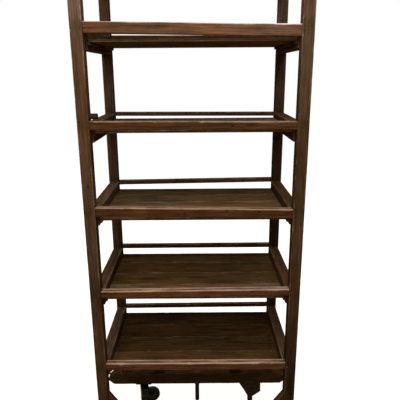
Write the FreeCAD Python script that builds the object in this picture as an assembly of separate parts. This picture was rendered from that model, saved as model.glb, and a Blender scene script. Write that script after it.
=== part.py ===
import FreeCAD, Part
import math
import os

# A wheeled timber rack for bread.  Millimetres, +Z up, the open front faces -Y.
# The origin is on the floor under the middle of the rack.

# Overall frame
rack_width = 700.0          # over the outer faces of the posts
rack_depth = 470.0          # front face to rear face of the posts
post_width = 36.0           # across the front
post_depth = 38.0           # front to back
post_over_top_rail = 34.0   # post left standing above the highest front rail

# Tiers
tier_count = 6
tier_pitch = 280.0
lowest_rail_top = 521.0     # top of the lowest front rail above the floor
rail_lifts = [0.0, 0.0, 5.5, 0.0, 0.0, 0.0]     # how far a tier sits above its even place, lowest first
housing_depth = 12.0        # how far a rail end is let into a post

# Front rail of a tier, all lists with the lowest tier first; a tilt is in degrees, right end down
front_rail_heights = [26.0, 23.0, 29.0, 26.0, 33.0, 28.0]
front_rail_tilts = [0.0, -0.35, 0.9, 0.35, 1.0, -0.4]
front_rail_thickness = 24.0
front_rail_setback = 6.0    # behind the front face of the posts

# Rear guard of a tier
rear_guard_heights = [16.0, 17.0, 18.0, 15.5, 18.0, 18.0]
rear_guard_drops = [8.0, 4.0, 4.5, 8.0, 3.0, 3.0]       # its top below the front rail's top
rear_guard_tilts = [-0.35, -0.1, -0.7, 0.3, 0.4, 0.0]
rear_guard_thickness = 16.0
rear_guard_inset = 6.0      # in from the rear face of the posts

# Side rails of a tier
side_rail_heights = [55.0, 55.0, 54.0, 57.0, 60.0, 58.0]
side_rail_thickness = 37.0
side_rail_end_thickness = 20.0      # where it stands in a post
side_rail_drop = 11.0       # its top below the front rail's top
side_rail_inset = 3.0       # in from the outer face of the posts

# Shelf boards and the cleats under them
board_count = 4
board_thickness = 8.0
board_drops = [38.0, 39.0, 40.5, 30.0, 41.0, 38.0]      # board top below the front rail's top
board_gap = 2.0             # between one board and the next
board_end_gap = 2.0         # from a board's end to the side rail
board_post_gap = 2.0        # from the boards to the posts, front and rear
cleat_width = 8.0
cleat_height = 8.0

# Bolsters under the posts
bolster_length = 814.0
bolster_height = 53.0
bolster_top_cut = 22.0      # length of the slope over each end
bolster_bottom_cut = 24.0   # length of the slope under each end
bolster_bottom_rise = 20.0  # height of that lower slope
bolster_end_flat = 14.0     # upright face between the two slopes
tenon_width = 18.0
tenon_depth = 16.0          # front to back
tenon_length = 20.0

# Knee braces from a post down to its bolster
brace_angle = 54.3          # degrees from level
brace_width = 34.0
brace_thickness = 20.0
brace_rise = 231.0          # from the bolster's top to the brace's upper edge at the post

# Pegs through the rail ends, and one stub peg on the front left post
peg_radius = 4.0
peg_depth = 5.0
peg_proud = 0.6
stub_peg_radius = 9.0
stub_peg_length = 25.0
stub_peg_rise = 16.0        # its middle above the front rail's top
stub_peg_tier = 4           # counted from the lowest
stub_peg_round = 3.0

# Casters
wheel_radius = 38.0
wheel_width = 14.0
wheel_rim = 7.0             # radial thickness of the rim
wheel_web = 5.0             # thickness of the web
hub_radius = 12.0
axle_radius = 5.0
axle_head_radius = 8.0
axle_head_length = 3.0
axle_clearance = 0.06       # radial, wheel on axle
wheel_side_clearance = 0.5
wheel_column_clearance = 2.0
wheel_head_room = 5.0       # open above the wheel inside the yoke
arm_thickness = 4.0
arm_half_height = 10.0
wheel_trail = 34.0          # axle behind the swivel axis
column_front = 12.0         # column's wheel side, from the swivel axis
column_back = 17.0          # column's other side, from the swivel axis
column_bottom = 12.0        # above the floor
crown_half_width = 47.0      # on the side whose shoulder drops straight
crown_slope_width = 51.0    # on the side whose shoulder slopes from the top
crown_slope_waist = 30.0    # its width at slope_waist_drop below the crown's top
slope_waist_drop = 33.0
crown_half_length = 18.0
crown_height = 10.0
shield_height = 40.0
crown_neck_height = 34.0
shield_toe = 68.0           # from the crown's top down to the end of the taper
crown_gap = 0.5             # under the plate
plate_length = 72.0
plate_thickness = 4.0
king_pin_radius = 7.0
king_pin_length = 20.0      # below the plate
king_pin_clearance = 0.06   # radial
king_pin_end_gap = 1.5
caster_inset = 102.0        # swivel axis in from the outer face of a post
caster_height = 113.0       # floor to the underside of a bolster
caster_turns = {"front_left": -94.0, "front_right": 188.0, "rear_left": 13.0, "rear_right": 86.0}
screw_radius = 3.0
screw_head_radius = 5.0
screw_head_height = 1.6
screw_depth = 18.0
screw_edge = 9.0            # in from the plate's end

# Screw-down prop under the rear bolster
prop_radius = 9.5
prop_floor_gap = 10.0
prop_tip_chamfer = 3.0
prop_clearance = 0.06       # radial
bush_radius = 14.0
bush_flange_radius = 17.0
bush_flange_height = 6.0

overcut = 1.0               # how far a cutter runs past a face

# Worked out
half_width = rack_width / 2
half_depth = rack_depth / 2
post_inner_x = half_width - post_width
bolster_bottom = caster_height
bolster_top = bolster_bottom + bolster_height
rail_tops = [lowest_rail_top + tier * tier_pitch + lift for tier, lift in enumerate(rail_lifts)]
post_top = rail_tops[-1] + post_over_top_rail
side_outer_x = half_width - side_rail_inset
side_inner_x = side_outer_x - side_rail_thickness
side_end_inner_x = side_outer_x - side_rail_end_thickness
front_y = -half_depth
rear_y = half_depth
front_post_back_y = front_y + post_depth
rear_post_front_y = rear_y - post_depth
front_line_y = front_y + post_depth / 2
rear_line_y = rear_y - post_depth / 2
front_rail_y = front_y + front_rail_setback
rear_guard_y = rear_y - rear_guard_inset - rear_guard_thickness
caster_x = half_width - caster_inset
slot_start = wheel_trail - wheel_radius - wheel_column_clearance
crown_top = bolster_bottom - plate_thickness - crown_gap

os.makedirs("parts", exist_ok=True)


def box(x_range, y_range, z_range):
    """A block between two corners, given as three (low, high) pairs."""
    low = FreeCAD.Vector(x_range[0], y_range[0], z_range[0])
    return Part.makeBox(x_range[1] - x_range[0], y_range[1] - y_range[0], z_range[1] - z_range[0], low)


def mirrored_range(inner, outer, side):
    """The (low, high) pair from inner to outer on side -1 or +1 of the middle plane."""
    return (inner, outer) if side > 0 else (-outer, -inner)


def rod(radius, start, end):
    """A round bar between two points."""
    start = FreeCAD.Vector(*start)
    along = FreeCAD.Vector(*end) - start
    return Part.makeCylinder(radius, along.Length, start, along)


def slab(points, direction):
    """A flat outline pushed along a direction."""
    corners = [FreeCAD.Vector(*point) for point in points]
    face = Part.Face(Part.makePolygon(corners + corners[:1]))
    return face.extrude(FreeCAD.Vector(*direction))


def tilted(shape, z, degrees):
    """A piece that lies across the rack, turned about the middle of its length; its right end goes down."""
    shape.rotate(FreeCAD.Vector(0, 0, z), FreeCAD.Vector(0, 1, 0), degrees)
    return shape


def save(name, shape):
    """Write one node's file."""
    shape.exportStep("parts/" + name + ".step")


def front_rail(tier, reach):
    """A front rail whose ends stand reach past the inner faces of the posts."""
    end = post_inner_x + reach
    high, height = rail_tops[tier], front_rail_heights[tier]
    body = box((-end, end), (front_rail_y, front_rail_y + front_rail_thickness), (high - height, high))
    return tilted(body, high - height / 2, front_rail_tilts[tier])


def rear_guard(tier, reach):
    """A rear guard slat whose ends stand reach past the inner faces of the posts."""
    end = post_inner_x + reach
    high, height = rail_tops[tier] - rear_guard_drops[tier], rear_guard_heights[tier]
    body = box((-end, end), (rear_guard_y, rear_guard_y + rear_guard_thickness), (high - height, high))
    return tilted(body, high - height / 2, rear_guard_tilts[tier])


def side_rail(tier, side, reach):
    """A side rail between the posts, whose narrower ends stand reach into them."""
    high = rail_tops[tier] - side_rail_drop
    heights = (high - side_rail_heights[tier], high)
    body = box(mirrored_range(side_inner_x, side_outer_x, side), (front_post_back_y, rear_post_front_y), heights)
    ends = box(mirrored_range(side_end_inner_x, side_outer_x, side),
               (front_post_back_y - reach, rear_post_front_y + reach), heights)
    return body.fuse(ends).removeSplitter()


def peg_spots(side):
    """Where pegs are driven: (x, face y, inward direction, z) for the front and rear posts of a side."""
    x = side * (post_inner_x + housing_depth / 2)
    spots = []
    for tier, top in enumerate(rail_tops):
        fall = x * math.tan(math.radians(front_rail_tilts[tier]))
        spots.append((x, front_y, 1, top - front_rail_heights[tier] / 2 - fall))
        fall = x * math.tan(math.radians(rear_guard_tilts[tier]))
        spots.append((x, rear_y, -1, top - rear_guard_drops[tier] - rear_guard_heights[tier] / 2 - fall))
    return spots


def peg(spot, proud):
    """A peg driven into a post face, its head standing proud by the given amount."""
    x, y, inward, z = spot
    return rod(peg_radius, (x, y - inward * proud, z), (x, y + inward * peg_depth, z))


def tenon(side, line_y):
    """The stub under a post that enters the bolster."""
    middle = side * (half_width - post_width / 2)
    return box((middle - tenon_width / 2, middle + tenon_width / 2),
               (line_y - tenon_depth / 2, line_y + tenon_depth / 2), (bolster_top - tenon_length, bolster_top))


def stub_peg(reach):
    """The short round peg on the inner face of the front left post."""
    z = rail_tops[stub_peg_tier - 1] + stub_peg_rise
    body = rod(stub_peg_radius, (-post_inner_x - reach, front_line_y, z),
               (-post_inner_x + stub_peg_length, front_line_y, z))
    tip = [edge for edge in body.Edges if abs(edge.CenterOfMass.x - (stub_peg_length - post_inner_x)) < 0.01]
    return body.makeFillet(stub_peg_round, tip)


def post(side, line_y):
    """One corner post, with housings for the rails, holes for the pegs and a tenon below."""
    low_y = line_y - post_depth / 2
    body = box(mirrored_range(post_inner_x, half_width, side), (low_y, low_y + post_depth),
               (bolster_top, post_top))
    cutters = []
    for tier in range(tier_count):
        cutters.append(side_rail(tier, side, housing_depth))
        cutters.append(front_rail(tier, housing_depth) if line_y < 0 else rear_guard(tier, housing_depth))
    cutters += [peg(spot, overcut) for spot in peg_spots(side) if spot[1] * line_y > 0]
    if side < 0 and line_y < 0:
        cutters.append(stub_peg(housing_depth))
    body = body.cut(Part.makeCompound(cutters)).fuse(tenon(side, line_y))
    return body.removeSplitter()


def shelf_boards(tier):
    """The loose boards of one tier, lying side by side on the cleats."""
    end = side_inner_x - board_end_gap
    first = front_post_back_y + board_post_gap
    last = rear_post_front_y - board_post_gap
    width = (last - first - (board_count - 1) * board_gap) / board_count
    high = rail_tops[tier] - board_drops[tier]
    boards = []
    for number in range(board_count):
        low_y = first + number * (width + board_gap)
        boards.append(box((-end, end), (low_y, low_y + width), (high - board_thickness, high)))
    return Part.makeCompound(boards)


def shelf_cleats():
    """The strips along the side rails that carry the boards, two for each tier."""
    cleats = []
    for top, drop in zip(rail_tops, board_drops):
        high = top - drop - board_thickness
        for side in (-1, 1):
            cleats.append(box(mirrored_range(side_inner_x - cleat_width, side_inner_x, side),
                              (front_post_back_y, rear_post_front_y), (high - cleat_height, high)))
    return Part.makeCompound(cleats)


def bolster(line_y):
    """A cross beam whose ends slope back above and below, mortised for the post tenons."""
    end = bolster_length / 2
    flat_low = bolster_bottom + bolster_bottom_rise
    outline = []
    for side in (-1, 1):
        points = [(side * (end - bolster_bottom_cut), bolster_bottom), (side * end, flat_low),
                  (side * end, flat_low + bolster_end_flat), (side * (end - bolster_top_cut), bolster_top)]
        outline += points if side > 0 else points[::-1]
    low_y = line_y - post_depth / 2
    body = slab([(x, low_y, z) for x, z in outline], (0, post_depth, 0))
    body = body.cut(Part.makeCompound([tenon(side, line_y) for side in (-1, 1)]))
    for side in (-1, 1):
        body = body.cut(Part.makeCompound(screws(side, line_y)))
    if line_y > 0:
        body = body.cut(rod(bush_radius, (0, line_y, bolster_bottom), (0, line_y, bolster_top)))
    return body


def knee_braces(line_y):
    """The pair of slanting struts from the posts of one bolster down to it."""
    slope = math.radians(brace_angle)
    foot = post_inner_x - brace_rise / math.tan(slope)
    outline = [(post_inner_x, bolster_top + brace_rise), (foot, bolster_top),
               (foot + brace_width / math.sin(slope), bolster_top),
               (post_inner_x, bolster_top + brace_rise - brace_width / math.cos(slope))]
    low_y = line_y - brace_thickness / 2
    return Part.makeCompound([slab([(side * x, low_y, z) for x, z in outline], (0, brace_thickness, 0))
                              for side in (-1, 1)])


def caster_plate(side, line_y):
    """The plate under a bolster, with its king pin."""
    x = side * caster_x
    plate = box((x - plate_length / 2, x + plate_length / 2),
                (line_y - post_depth / 2, line_y + post_depth / 2),
                (bolster_bottom - plate_thickness, bolster_bottom))
    low = bolster_bottom - plate_thickness
    pin = rod(king_pin_radius, (x, line_y, low - king_pin_length), (x, line_y, low))
    shape = plate.fuse(pin).removeSplitter()
    return shape.cut(Part.makeCompound(screws(side, line_y)))


def screws(side, line_y):
    """The two countersunk screws of a plate, each a shank with a flat head flush with the plate's underside."""
    result = []
    low = bolster_bottom - plate_thickness
    for end in (-1, 1):
        x = side * caster_x + end * (plate_length / 2 - screw_edge)
        shank = rod(screw_radius, (x, line_y, low), (x, line_y, low + screw_depth))
        head = rod(screw_head_radius, (x, line_y, low), (x, line_y, low + screw_head_height))
        result.append(shank.fuse(head).removeSplitter())
    return result


def place_caster(shape, side, line_y, turn):
    """Turn a caster piece made at the origin, trailing along +X, and set it under its plate."""
    placed = shape.copy()
    placed.rotate(FreeCAD.Vector(0, 0, 0), FreeCAD.Vector(0, 0, 1), turn)
    placed.translate(FreeCAD.Vector(side * caster_x, line_y, 0))
    return placed


def yoke():
    """A cast yoke: a crown that narrows to a column, with one straight and one sloping shoulder, and two arms that
    reach the axle."""
    shield_low = crown_top - shield_height
    toe = crown_top - shield_toe
    arm_out = wheel_width / 2 + wheel_side_clearance + arm_thickness
    across = [(-crown_half_width, crown_top), (crown_slope_width, crown_top),
              (crown_slope_waist, crown_top - slope_waist_drop), (arm_out, toe), (arm_out, column_bottom),
              (-arm_out, column_bottom), (-arm_out, toe), (-crown_half_width, shield_low)]
    crown_low = crown_top - crown_height
    neck = crown_top - crown_neck_height
    along = [(-crown_half_length, crown_top), (crown_half_length, crown_top), (crown_half_length, crown_low),
             (column_front, neck), (column_front, column_bottom), (-column_back, column_bottom),
             (-column_back, neck), (-crown_half_length, crown_low)]
    reach = crown_half_length + crown_slope_width
    front_view = slab([(-reach, y, z) for y, z in across], (2 * reach, 0, 0))
    side_view = slab([(x, -reach, z) for x, z in along], (0, 2 * reach, 0))
    shape = front_view.common(side_view)
    for side in (-1, 1):
        wide = mirrored_range(arm_out - arm_thickness, arm_out, side)
        arm = box((0, wheel_trail), wide, (wheel_radius - arm_half_height, wheel_radius + arm_half_height))
        end = rod(arm_half_height, (wheel_trail, wide[0], wheel_radius), (wheel_trail, wide[1], wheel_radius))
        shape = shape.fuse(arm).fuse(end)
    room = box((slot_start, wheel_trail + wheel_radius), (arm_thickness - arm_out, arm_out - arm_thickness),
               (0, 2 * wheel_radius + wheel_head_room))
    shape = shape.cut(room)
    hole = rod(axle_radius, (wheel_trail, -2 * arm_out, wheel_radius), (wheel_trail, 2 * arm_out, wheel_radius))
    socket_low = bolster_bottom - plate_thickness - king_pin_length - king_pin_end_gap
    socket = rod(king_pin_radius + king_pin_clearance, (0, 0, socket_low), (0, 0, crown_top + overcut))
    return shape.cut(hole).cut(socket).removeSplitter()


def wheel():
    """A plain cast wheel with a rim, a web and a hub, bored for its axle."""
    half = wheel_width / 2
    bore = axle_radius + axle_clearance
    rim_inner = wheel_radius - wheel_rim
    outline = [(bore, -half), (hub_radius, -half), (hub_radius, -wheel_web / 2), (rim_inner, -wheel_web / 2),
               (rim_inner, -half), (wheel_radius, -half), (wheel_radius, half), (rim_inner, half),
               (rim_inner, wheel_web / 2), (hub_radius, wheel_web / 2), (hub_radius, half), (bore, half)]
    corners = [FreeCAD.Vector(wheel_trail + radius, along, wheel_radius) for radius, along in outline]
    face = Part.Face(Part.makePolygon(corners + corners[:1]))
    return face.revolve(FreeCAD.Vector(wheel_trail, 0, wheel_radius), FreeCAD.Vector(0, 1, 0), 360)


def axle():
    """The wheel pin with a flat head outside each arm."""
    arm_out = wheel_width / 2 + wheel_side_clearance + arm_thickness
    shape = rod(axle_radius, (wheel_trail, -arm_out, wheel_radius), (wheel_trail, arm_out, wheel_radius))
    for side in (-1, 1):
        head = rod(axle_head_radius, (wheel_trail, side * arm_out, wheel_radius),
                   (wheel_trail, side * (arm_out + axle_head_length), wheel_radius))
        shape = shape.fuse(head)
    return shape.removeSplitter()


def prop_rod():
    """The round iron prop, its tip just clear of the floor."""
    body = rod(prop_radius, (0, rear_line_y, prop_floor_gap), (0, rear_line_y, bolster_top))
    tip = [edge for edge in body.Edges if edge.BoundBox.ZMax < prop_floor_gap + 0.01]
    return body.makeChamfer(prop_tip_chamfer, tip)


def prop_bush():
    """The flanged bush in the rear bolster that the prop screws through."""
    low = bolster_bottom - bush_flange_height
    shape = rod(bush_radius, (0, rear_line_y, bolster_bottom), (0, rear_line_y, bolster_top))
    shape = shape.fuse(rod(bush_flange_radius, (0, rear_line_y, low), (0, rear_line_y, bolster_bottom)))
    hole = rod(prop_radius + prop_clearance, (0, rear_line_y, low - overcut),
               (0, rear_line_y, bolster_top + overcut))
    return shape.cut(hole).removeSplitter()


def build_frame():
    """Posts, bolsters, braces, pegs and the prop."""
    for end, line_y in (("front", front_line_y), ("rear", rear_line_y)):
        for hand, side in (("left", -1), ("right", 1)):
            save(end + "_" + hand + "_post", post(side, line_y))
        save(end + "_bolster", bolster(line_y))
        save(end + "_knee_braces", knee_braces(line_y))
    pegs = [peg(spot, peg_proud) for side in (-1, 1) for spot in peg_spots(side)]
    save("rail_pegs", Part.makeCompound(pegs))
    save("stub_peg", stub_peg(housing_depth))
    save("prop_rod", prop_rod())
    save("prop_bush", prop_bush())


def build_tiers():
    """Rails, guards and boards of every tier, counted from the lowest, and all the cleats."""
    for tier in range(tier_count):
        number = tier + 1
        save("front_rail_%d" % number, front_rail(tier, housing_depth))
        save("rear_guard_%d" % number, rear_guard(tier, housing_depth))
        save("left_side_rail_%d" % number, side_rail(tier, -1, housing_depth))
        save("right_side_rail_%d" % number, side_rail(tier, 1, housing_depth))
        save("shelf_boards_%d" % number, shelf_boards(tier))
    save("shelf_cleats", shelf_cleats())


def build_casters():
    """Four casters, each standing turned its own way, and their screws."""
    yoke_shape = yoke()
    wheel_shape = wheel()
    axle_shape = axle()
    all_screws = []
    for corner, turn in caster_turns.items():
        side = -1 if corner.endswith("left") else 1
        line_y = front_line_y if corner.startswith("front") else rear_line_y
        save(corner + "_caster_plate", caster_plate(side, line_y))
        save(corner + "_caster_yoke", place_caster(yoke_shape, side, line_y, turn))
        save(corner + "_caster_wheel", place_caster(wheel_shape, side, line_y, turn))
        save(corner + "_caster_axle", place_caster(axle_shape, side, line_y, turn))
        all_screws += screws(side, line_y)
    save("caster_screws", Part.makeCompound(all_screws))


build_frame()
build_tiers()
build_casters()
print("caster axes at x = +-%.2f, y = +-%.2f, trail %.2f" % (caster_x, rear_line_y, wheel_trail))
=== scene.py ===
import math
from collections import namedtuple
from functools import partial

import bmesh
import bpy
import numpy as np
from mathutils import Matrix, Vector


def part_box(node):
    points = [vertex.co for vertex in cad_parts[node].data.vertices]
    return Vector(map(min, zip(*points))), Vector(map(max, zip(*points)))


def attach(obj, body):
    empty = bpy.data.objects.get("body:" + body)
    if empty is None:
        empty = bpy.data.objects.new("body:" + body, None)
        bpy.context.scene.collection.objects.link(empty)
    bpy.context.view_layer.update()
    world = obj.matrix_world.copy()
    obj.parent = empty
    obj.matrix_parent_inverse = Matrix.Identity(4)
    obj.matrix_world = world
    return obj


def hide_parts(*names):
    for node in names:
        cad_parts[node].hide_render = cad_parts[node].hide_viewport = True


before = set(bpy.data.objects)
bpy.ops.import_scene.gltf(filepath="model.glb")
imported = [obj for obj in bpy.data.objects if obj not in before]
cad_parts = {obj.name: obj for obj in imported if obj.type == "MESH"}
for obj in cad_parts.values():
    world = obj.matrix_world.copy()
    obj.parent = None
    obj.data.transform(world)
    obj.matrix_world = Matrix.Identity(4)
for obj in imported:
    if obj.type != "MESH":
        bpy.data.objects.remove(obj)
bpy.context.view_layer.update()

bl_info = {
    "name": "Bread Rack",
    "version": (1, 0, 0),
    "blender": (4, 5, 0),
    "location": "View3D > Sidebar > Bread Rack",
    "description": "Builds a worn timber bread rack on cast iron casters around its frame",
    "category": "Object",
}

TIERS = range(1, 7)
HANDS = {"left": -1, "right": 1}
ENDS = ("front", "rear")
CORNERS = tuple(end + "_" + hand for end in ENDS for hand in HANDS)
BOARDS_PER_TIER = 4
ARC_STEPS = 4
MM = 0.001
UP = (0.0, 0.0, 1.0)
WHITE = (1.0, 1.0, 1.0, 1.0)

# Sizes that the boxes of the nodes do not give
CLEARANCE = 0.06 * MM
HOUSING_DEPTH = 12.0 * MM
SIDE_END_THICKNESS = 20.0 * MM
BOARD_GAP = 2.0 * MM
CLEAT_WIDTH, CLEAT_HEIGHT = 8.0 * MM, 8.0 * MM
PEG_RADIUS, PEG_DEPTH, PEG_PROUD = 4.0 * MM, 5.0 * MM, 0.6 * MM
BOLSTER_CUT_BELOW, BOLSTER_RISE_BELOW, BOLSTER_END_FLAT, BOLSTER_CUT_ABOVE = 24 * MM, 20 * MM, 14 * MM, 22 * MM
BRACE_ANGLE, BRACE_WIDTH = 54.3, 34.0 * MM
PLATE_THICKNESS, KING_PIN_RADIUS = 4.0 * MM, 7.0 * MM
SCREW_EDGE, SCREW_HEAD, SCREW_SHANK, SCREW_LENGTH = 9.0 * MM, 5.0 * MM, 3.0 * MM, 17.5 * MM
SLOT_HALF, SLOT_WALL, SLOT_DEPTH = 0.75 * MM, 0.25 * MM, 0.9 * MM
ARM_OUT, AXLE_RADIUS, AXLE_HEAD_RADIUS, AXLE_HEAD_LENGTH = 11.5 * MM, 5.0 * MM, 8.0 * MM, 3.0 * MM
WHEEL_WIDTH, WHEEL_RIM, WHEEL_WEB, HUB_RADIUS = 14.0 * MM, 7.0 * MM, 5.0 * MM, 12.0 * MM
WHEEL_BORE = AXLE_RADIUS + CLEARANCE
THREAD_PITCH, THREAD_DEPTH, THREAD_POINT = 4.0 * MM, 1.3 * MM, 3.0 * MM
BUSH_BORE, BUSH_RADIUS, BUSH_FLANGE = 9.5 * MM + CLEARANCE, 14.0 * MM, 6.0 * MM
# The yokes' mesh size, and how far past a bore's radius its wall is looked for
CAST_VOXEL, BORE_REACH = 1.1 * MM, 1.6 * MM
# How far a post's visible part goes into its bolster, and how far a hidden end is drawn in from its housing
POST_SINK, TUCK = 1.5 * MM, 0.5 * MM

# Painted shade with grime at a joint, a darker band on the post: its share of the tone, how far below the
# rail's top it is and how far it reaches
JOINT_SHADE_AND_GRIME_SHARE, JOINT_SHADE_AND_GRIME_BELOW, JOINT_SHADE_AND_GRIME_REACH = 0.22, 12 * MM, 20 * MM
STUB_TONE = 0.45

# How far apart along a timber its wear comes and goes
EDGE_WAVE, EDGE_RIPPLE, BITE_WAVE, BITE_RIPPLE = 55 * MM, 5 * MM, 16 * MM, 7 * MM
HOLLOW_WAVE, RUB_WAVE = 90 * MM, 80 * MM
# How far in from an arris the pale rubbing goes, and how far down from the top
RUB_WIDTH, RUB_TOP = 3.2 * MM, 3.0 * MM
SHARPEST_ARRIS = 0.35 * MM
FLAT_STEP = 4 * MM
# A bar's end face is drawn in by this much once more, so that its flat cap does not reach the rounding
CAP_INSET = 3.5 * MM
# The smallest ring of a solid turned piece, closed by a flat cap
CORE_RADIUS = 0.3 * MM

CAMERA_PLACE, CAMERA_LENS, SENSOR = (0.0177, -1.6228, 1.505), 41.29, 36.0
CAMERA_DIP, CAMERA_TURN, CAMERA_ROLL = math.radians(15.61), -0.00074, -0.00657
FLOOR_HALF = 6.0
# The floor looks as white as its setting out to the first distance, and fully white from the second on
FLOOR_NEAR, FLOOR_FAR = 0.6, 1.4


def linear(code):
    """An sRGB hex colour as the linear RGBA that shaders use."""
    values = [int(code[i : i + 2], 16) / 255 for i in (1, 3, 5)]
    curve = [v / 12.92 if v <= 0.04045 else ((v + 0.055) / 1.055) ** 2.4 for v in values]
    return (*curve, 1.0)


def settings():
    return bpy.context.scene.bread_rack


# ---- mesh helpers

# Rings of points side by side, with what the material reads at each point: its place in the plank that the
# piece was sawn from, how rubbed it is and how pale. closed says whether the last ring joins the first.
Grid = namedtuple("Grid", "world grain worn tone closed")


def drift(rng, places, step, columns):
    """Smooth random curves from 0 to 1 at the given places: a random value every step, joined by cosine-like
    steps."""
    reach = places - places.min()
    knots = max(2, int(math.ceil(reach.max() / step)) + 2)
    values = rng.random((knots + 1, columns))
    place = reach / step
    index = np.minimum(place.astype(int), knots - 1)
    part = (place - index)[:, None]
    part = part * part * (3 - 2 * part)
    return values[index] * (1 - part) + values[index + 1] * part


def outline_steps(flat_a, flat_b):
    """One walk round a rectangle with rounded corners. Returns for each step the corner it leaves and the one
    it goes to, how far along that flat it is, and the direction of its arc in radians."""
    leave, enter, part, turn = [], [], [], []
    arc = np.linspace(0, 1, ARC_STEPS + 1)
    for corner, count in enumerate((flat_a, flat_b, flat_a, flat_b)):
        flat = np.arange(1, count + 1) / (count + 1)
        leave.append(np.full(arc.size + count, corner))
        enter.append(np.repeat([corner, (corner + 1) % 4], [arc.size, count]))
        part.append(np.concatenate([0 * arc, flat]))
        turn.append(np.concatenate([corner + arc, corner + 1 + 0 * flat]) * math.pi / 2)
    return [np.concatenate(x) for x in (leave, enter, part, turn)]


def worn_bar(low, high, seed, edge, chip, hollow, step=4.5 * MM, rub=0.0, sweep=None, ends=1.2 * MM, shape=None,
             tones=None):
    """A worn squared timber between two corners, its grain along its longest side or along sweep. The section
    is a rectangle whose corners are arcs. Each arc's radius drifts along the length, with a deeper bite where
    a slow random curve is high, and each face sinks a little by a third curve. shape(places) gives the lowest
    and highest height of the section for a bar that is not the same height all along. tones are how pale it
    is at even steps along it, 1 being the usual, and without them the whole piece takes one random tone."""
    rng = np.random.default_rng(seed)
    low, high = np.array(low, float), np.array(high, float)
    size = high - low
    axis = int(np.argmax(size)) if sweep is None else sweep
    order = [axis, (axis + 1) % 3, (axis + 2) % 3]
    length, wide, tall = size[order]
    count = max(4, int(round(length / step)))
    body = np.linspace(ends, length - ends, count + 1)
    quarter = ends * (1 - np.cos(np.linspace(0, math.pi / 2, 4)))[:-1]
    inset = ends * (1 - np.sin(np.linspace(0, math.pi / 2, 4)))[:-1]
    place = np.concatenate([[0.0], quarter, body, (length - quarter)[::-1], [length]])
    shrink = np.concatenate([[ends + CAP_INSET], inset, np.zeros(body.size), inset[::-1], [ends + CAP_INSET]])
    flat_a = max(2, min(9, int(wide / FLAT_STEP)))
    flat_b = max(2, min(9, int(tall / FLAT_STEP)))
    leave, enter, part, turn = outline_steps(flat_a, flat_b)

    radius = edge * (0.6 + 0.9 * drift(rng, place, EDGE_WAVE, 4))
    bite = np.clip(drift(rng, place, BITE_WAVE, 4) - 0.80, 0, 1) / 0.20
    radius = radius + chip * bite * bite * (0.3 + drift(rng, place, BITE_RIPPLE, 4))
    radius = radius + edge * 0.45 * (drift(rng, place, EDGE_RIPPLE, 4) - 0.5)
    radius = np.clip(radius, SHARPEST_ARRIS, 0.42 * min(wide, tall))

    bottom, top = np.zeros(place.size), np.full(place.size, tall)
    if shape is not None:
        bottom, top = shape(place)
    half_a = np.maximum(wide / 2 - shrink, 0.2 * wide)
    half_b = np.maximum((top - bottom) / 2 - shrink, 0.4 * MM)
    radius = np.minimum(radius, 0.8 * np.minimum(half_a, half_b)[:, None])

    sign_a, sign_b = np.array([[1, -1, -1, 1], [1, 1, -1, -1]])

    def corner_point(corner):
        """The corner's arc: the arc's centre, one radius in from both faces, plus the radius along its
        direction."""
        r = radius[:, corner]
        a = sign_a[corner] * (half_a[:, None] - r) + r * np.cos(turn)
        b = sign_b[corner] * (half_b[:, None] - r) + r * np.sin(turn)
        return a, b

    a0, b0 = corner_point(leave)
    a1, b1 = corner_point(enter)
    a = a0 * (1 - part) + a1 * part
    b = b0 * (1 - part) + b1 * part
    sink = hollow * drift(rng, place, HOLLOW_WAVE, 4)
    sunk = sink[:, leave] * np.sin(math.pi * part)
    a = a - np.cos(turn) * sunk
    b = b - np.sin(turn) * sunk

    run = np.where(leave % 2 == 0, wide, tall)
    near = np.minimum(part, 1 - part) * run
    worn = np.exp(-((near / RUB_WIDTH) ** 1.2))[None, :] * np.ones((place.size, 1))
    worn = np.clip(worn * (0.35 + 0.5 * drift(rng, place, RUB_WAVE, 4)[:, leave] + 0.5 * bite[:, leave]), 0, 1)
    worn[[0, -1]] *= 0.25

    grain = np.stack([place[:, None] + 0 * a, a + wide / 2, b + ((bottom + top) / 2)[:, None]], axis=-1)
    world = np.empty_like(grain)
    world[..., order] = grain + low[order]
    if rub:
        upper = np.clip((world[..., 2] - (high[2] - RUB_TOP)) / RUB_TOP, 0, 1)
        worn = np.clip(worn + rub * upper, 0, 1)
    grain = grain + rng.random(3) * np.array([3.0, 0.4, 0.4]) + np.array([seed % 97, 0, 0]) * 0.31
    tones = [rng.uniform(0.88, 1.14)] if tones is None else tones
    tone = np.interp(place / length, np.linspace(0, 1, len(tones)), tones)[:, None] * np.ones(worn.shape)
    return Grid(world, grain, worn, tone, False)


def rounded(profile, radius, steps=4, cut_ends=False):
    """A closed profile with each corner turned into a curve: the quadratic Bezier from a point one radius
    before the corner to a point one radius after it. With cut_ends the curves of the first and last corner
    are left off."""
    corner = np.array(profile, float)
    before, after = np.roll(corner, 1, axis=0) - corner, np.roll(corner, -1, axis=0) - corner
    reach = [np.minimum(radius, 0.45 * np.linalg.norm(x, axis=1))[:, None] for x in (before, after)]
    start = corner + before / np.linalg.norm(before, axis=1)[:, None] * reach[0]
    stop = corner + after / np.linalg.norm(after, axis=1)[:, None] * reach[1]
    t = np.linspace(0, 1, steps + 1)[None, :, None]
    curve = (1 - t) ** 2 * start[:, None] + 2 * t * (1 - t) * corner[:, None] + t ** 2 * stop[:, None]
    curve = curve.reshape(-1, 2)
    return curve[steps:-steps] if cut_ends else curve


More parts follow.
